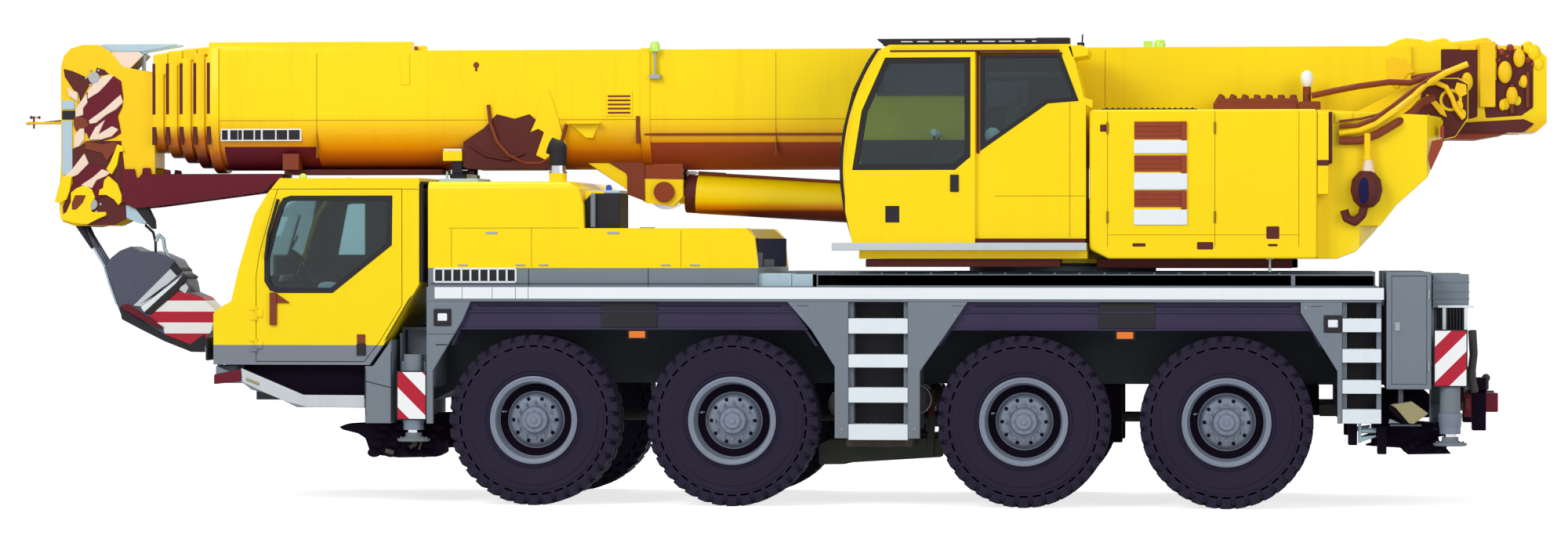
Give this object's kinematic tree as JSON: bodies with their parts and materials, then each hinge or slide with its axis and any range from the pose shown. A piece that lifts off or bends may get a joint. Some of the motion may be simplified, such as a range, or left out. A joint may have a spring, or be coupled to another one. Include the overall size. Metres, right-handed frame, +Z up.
{
  "type": "all-terrain mobile crane",
  "caption": "Road-going telescopic crane: steered wheels, driver's cab, outriggers, slewing superstructure with operator's cab, and a boom that luffs and telescopes.",
  "frame": {"origin": "on the ground below the middle of the whole crane with its boom lowered", "axes": "-X is the driving direction, +Y the crane's right side seen from its driver's seat, +Z up"},
  "size_m": [13.42, 2.75, 3.9998],
  "materials": {
    "yellow_paint": "gloss yellow paint",
    "boom_paint": "gloss yellow paint",
    "grey_paint": "satin grey paint",
    "dark_paint": "satin black paint",
    "white_paint": "satin white paint",
    "rim_paint": "satin grey paint",
    "tyre": "black tyre rubber",
    "window_glass": "tinted glass",
    "cast_steel": "painted cast steel",
    "rod_chrome": "hard chrome",
    "bright_steel": "bare steel",
    "hook_paint": "satin grey paint"
  },
  "bodies": {
    "carrier": {"chassis_frame": "grey_paint", "carrier_deck": "grey_paint", "axle_beams": "cast_steel", "engine_block": "cast_steel", "engine_hood": "yellow_paint", "driver_cab": "yellow_paint", "driver_cab_glass": "window_glass", "side_panels": "grey_paint", "mudguards": "dark_paint", "ladders": "white_paint", "front_bumper": "grey_paint"},
    "cab_door_left": {"driver_cab_door_left": "yellow_paint"},
    "cab_door_right": {"driver_cab_door_right": "yellow_paint"},
    "knuckle_1_left": {"steering_knuckle_1_left": "cast_steel"},
    "wheel_1_left": {"tyre_1_left": "tyre", "rim_1_left": "rim_paint"},
    "knuckle_1_right": {"steering_knuckle_1_right": "cast_steel"},
    "wheel_1_right": {"tyre_1_right": "tyre", "rim_1_right": "rim_paint"},
    "knuckle_2_left": {"steering_knuckle_2_left": "cast_steel"},
    "wheel_2_left": {"tyre_2_left": "tyre", "rim_2_left": "rim_paint"},
    "knuckle_2_right": {"steering_knuckle_2_right": "cast_steel"},
    "wheel_2_right": {"tyre_2_right": "tyre", "rim_2_right": "rim_paint"},
    "knuckle_3_left": {"steering_knuckle_3_left": "cast_steel"},
    "wheel_3_left": {"tyre_3_left": "tyre", "rim_3_left": "rim_paint"},
    "knuckle_3_right": {"steering_knuckle_3_right": "cast_steel"},
    "wheel_3_right": {"tyre_3_right": "tyre", "rim_3_right": "rim_paint"},
    "knuckle_4_left": {"steering_knuckle_4_left": "cast_steel"},
    "wheel_4_left": {"tyre_4_left": "tyre", "rim_4_left": "rim_paint"},
    "knuckle_4_right": {"steering_knuckle_4_right": "cast_steel"},
    "wheel_4_right": {"tyre_4_right": "tyre", "rim_4_right": "rim_paint"},
    "outrigger_front_left": {"outrigger_beam_front_left": "grey_paint"},
    "jack_front_left": {"outrigger_jack_front_left": "bright_steel"},
    "outrigger_front_right": {"outrigger_beam_front_right": "grey_paint"},
    "jack_front_right": {"outrigger_jack_front_right": "bright_steel"},
    "outrigger_rear_left": {"outrigger_beam_rear_left": "grey_paint"},
    "jack_rear_left": {"outrigger_jack_rear_left": "bright_steel"},
    "outrigger_rear_right": {"outrigger_beam_rear_right": "grey_paint"},
    "jack_rear_right": {"outrigger_jack_rear_right": "bright_steel"},
    "superstructure": {"slewing_platform": "yellow_paint", "operator_cab": "yellow_paint", "operator_cab_glass": "window_glass", "machinery_house": "yellow_paint", "counterweight": "yellow_paint"},
    "operator_door": {"operator_cab_door": "yellow_paint"},
    "luffing_barrel_body": {"luffing_barrel": "yellow_paint"},
    "luffing_rod_body": {"luffing_rod": "rod_chrome"},
    "boom": {"boom_base": "boom_paint"},
    "telescope_1_body": {"boom_section_1": "boom_paint"},
    "telescope_2_body": {"boom_section_2": "boom_paint"},
    "telescope_3_body": {"boom_section_3": "boom_paint"},
    "boom_tip": {"boom_section_4": "boom_paint", "boom_head": "boom_paint"},
    "hook": {"hook_block": "hook_paint"}
  },
  "joints": [
    {"name": "cab_door_left_hinge", "type": "hinge", "parent": "carrier", "child": "cab_door_left", "pos_m": [-4.284, -1.312, 1.5], "axis": [0, 0, -1], "range_deg": [0, 70]},
    {"name": "cab_door_right_hinge", "type": "hinge", "parent": "carrier", "child": "cab_door_right", "pos_m": [-4.284, 1.312, 1.5], "axis": [0, 0, 1], "range_deg": [0, 70]},
    {"name": "steer_1_left", "type": "hinge", "parent": "carrier", "child": "knuckle_1_left", "pos_m": [-1.87, -1, 0.725], "axis": [0, 0, 1], "range_deg": [-27, 27]},
    {"name": "wheel_1_left_spin", "type": "hinge", "parent": "knuckle_1_left", "child": "wheel_1_left", "pos_m": [-1.87, -1.16, 0.725], "axis": [0, 1, 0], "continuous": true},
    {"name": "steer_1_right", "type": "hinge", "parent": "carrier", "child": "knuckle_1_right", "pos_m": [-1.87, 1, 0.725], "axis": [0, 0, 1], "range_deg": [-27, 27]},
    {"name": "wheel_1_right_spin", "type": "hinge", "parent": "knuckle_1_right", "child": "wheel_1_right", "pos_m": [-1.87, 1.16, 0.725], "axis": [0, 1, 0], "continuous": true},
    {"name": "steer_2_left", "type": "hinge", "parent": "carrier", "child": "knuckle_2_left", "pos_m": [-0.17, -1, 0.725], "axis": [0, 0, 1], "range_deg": [-19, 19]},
    {"name": "wheel_2_left_spin", "type": "hinge", "parent": "knuckle_2_left", "child": "wheel_2_left", "pos_m": [-0.17, -1.16, 0.725], "axis": [0, 1, 0], "continuous": true},
    {"name": "steer_2_right", "type": "hinge", "parent": "carrier", "child": "knuckle_2_right", "pos_m": [-0.17, 1, 0.725], "axis": [0, 0, 1], "range_deg": [-19, 19]},
    {"name": "wheel_2_right_spin", "type": "hinge", "parent": "knuckle_2_right", "child": "wheel_2_right", "pos_m": [-0.17, 1.16, 0.725], "axis": [0, 1, 0], "continuous": true},
    {"name": "steer_3_left", "type": "hinge", "parent": "carrier", "child": "knuckle_3_left", "pos_m": [2.3, -1, 0.725], "axis": [0, 0, 1], "range_deg": [-12, 12]},
    {"name": "wheel_3_left_spin", "type": "hinge", "parent": "knuckle_3_left", "child": "wheel_3_left", "pos_m": [2.3, -1.16, 0.725], "axis": [0, 1, 0], "continuous": true},
    {"name": "steer_3_right", "type": "hinge", "parent": "carrier", "child": "knuckle_3_right", "pos_m": [2.3, 1, 0.725], "axis": [0, 0, 1], "range_deg": [-12, 12]},
    {"name": "wheel_3_right_spin", "type": "hinge", "parent": "knuckle_3_right", "child": "wheel_3_right", "pos_m": [2.3, 1.16, 0.725], "axis": [0, 1, 0], "continuous": true},
    {"name": "steer_4_left", "type": "hinge", "parent": "carrier", "child": "knuckle_4_left", "pos_m": [4, -1, 0.725], "axis": [0, 0, 1], "range_deg": [-27, 27]},
    {"name": "wheel_4_left_spin", "type": "hinge", "parent": "knuckle_4_left", "child": "wheel_4_left", "pos_m": [4, -1.16, 0.725], "axis": [0, 1, 0], "continuous": true},
    {"name": "steer_4_right", "type": "hinge", "parent": "carrier", "child": "knuckle_4_right", "pos_m": [4, 1, 0.725], "axis": [0, 0, 1], "range_deg": [-27, 27]},
    {"name": "wheel_4_right_spin", "type": "hinge", "parent": "knuckle_4_right", "child": "wheel_4_right", "pos_m": [4, 1.16, 0.725], "axis": [0, 1, 0], "continuous": true},
    {"name": "outrigger_front_left_slide", "type": "slide", "parent": "carrier", "child": "outrigger_front_left", "axis": [0, -1, 0], "range_m": [0, 1.85]},
    {"name": "jack_front_left_slide", "type": "slide", "parent": "outrigger_front_left", "child": "jack_front_left", "axis": [0, 0, -1], "range_m": [0, 0.6]},
    {"name": "outrigger_front_right_slide", "type": "slide", "parent": "carrier", "child": "outrigger_front_right", "axis": [0, 1, 0], "range_m": [0, 1.85]},
    {"name": "jack_front_right_slide", "type": "slide", "parent": "outrigger_front_right", "child": "jack_front_right", "axis": [0, 0, -1], "range_m": [0, 0.6]},
    {"name": "outrigger_rear_left_slide", "type": "slide", "parent": "carrier", "child": "outrigger_rear_left", "axis": [0, -1, 0], "range_m": [0, 1.85]},
    {"name": "jack_rear_left_slide", "type": "slide", "parent": "outrigger_rear_left", "child": "jack_rear_left", "axis": [0, 0, -1], "range_m": [0, 0.6]},
    {"name": "outrigger_rear_right_slide", "type": "slide", "parent": "carrier", "child": "outrigger_rear_right", "axis": [0, 1, 0], "range_m": [0, 1.85]},
    {"name": "jack_rear_right_slide", "type": "slide", "parent": "outrigger_rear_right", "child": "jack_rear_right", "axis": [0, 0, -1], "range_m": [0, 0.6]},
    {"name": "slew", "type": "hinge", "parent": "carrier", "child": "superstructure", "pos_m": [2.57, 0, 2.06], "axis": [0, 0, 1], "continuous": true},
    {"name": "operator_door_slide", "type": "slide", "parent": "superstructure", "child": "operator_door", "axis": [1, 0, 0], "range_m": [0, 0.88]},
    {"name": "luff", "type": "hinge", "parent": "superstructure", "child": "boom", "pos_m": [5.89, 0, 3.45], "axis": [0, 1, 0], "range_deg": [0, 82]},
    {"name": "luff_cylinder_swing", "type": "hinge", "parent": "superstructure", "child": "luffing_barrel_body", "pos_m": [3.35, 0, 2.42], "axis": [0, 1, 0], "range_deg": [0, 92.8]},
    {"name": "luff_cylinder_extend", "type": "slide", "parent": "luffing_barrel_body", "child": "luffing_rod_body", "axis": [-0.9981, 0, 0.0611], "range_m": [0, 3.44]},
    {"name": "telescope_1", "type": "slide", "parent": "boom", "child": "telescope_1_body", "axis": [-1, 0, 0], "range_m": [0, 7.7]},
    {"name": "telescope_2", "type": "slide", "parent": "telescope_1_body", "child": "telescope_2_body", "axis": [-1, 0, 0], "range_m": [0, 7.7]},
    {"name": "telescope_3", "type": "slide", "parent": "telescope_2_body", "child": "telescope_3_body", "axis": [-1, 0, 0], "range_m": [0, 7.7]},
    {"name": "telescope_4", "type": "slide", "parent": "telescope_3_body", "child": "boom_tip", "axis": [-1, 0, 0], "range_m": [0, 7.7]},
    {"name": "hook_swing", "type": "hinge", "parent": "boom_tip", "child": "hook", "pos_m": [-6.01, 0, 2.58], "axis": [0, 1, 0], "range_deg": [-46.2, 0]}
  ],
  "couplings": [
    {"joint": "steer_1_right", "follows": "steer_1_left", "ratio": 1},
    {"joint": "steer_2_left", "follows": "steer_1_left", "ratio": 0.7},
    {"joint": "steer_2_right", "follows": "steer_1_left", "ratio": 0.7},
    {"joint": "steer_4_right", "follows": "steer_4_left", "ratio": 1},
    {"joint": "steer_3_left", "follows": "steer_4_left", "ratio": 0.42},
    {"joint": "steer_3_right", "follows": "steer_4_left", "ratio": 0.42},
    {"joint": "luff_cylinder_swing", "follows": "luff", "ratio": 1.1306},
    {"joint": "luff_cylinder_extend", "follows": "luff", "m_per_rad": 2.3994},
    {"joint": "telescope_2", "follows": "telescope_1", "ratio": 1},
    {"joint": "telescope_3", "follows": "telescope_1", "ratio": 1},
    {"joint": "telescope_4", "follows": "telescope_1", "ratio": 1},
    {"joint": "hook_swing", "follows": "luff", "ratio": -0.561}
  ]
}
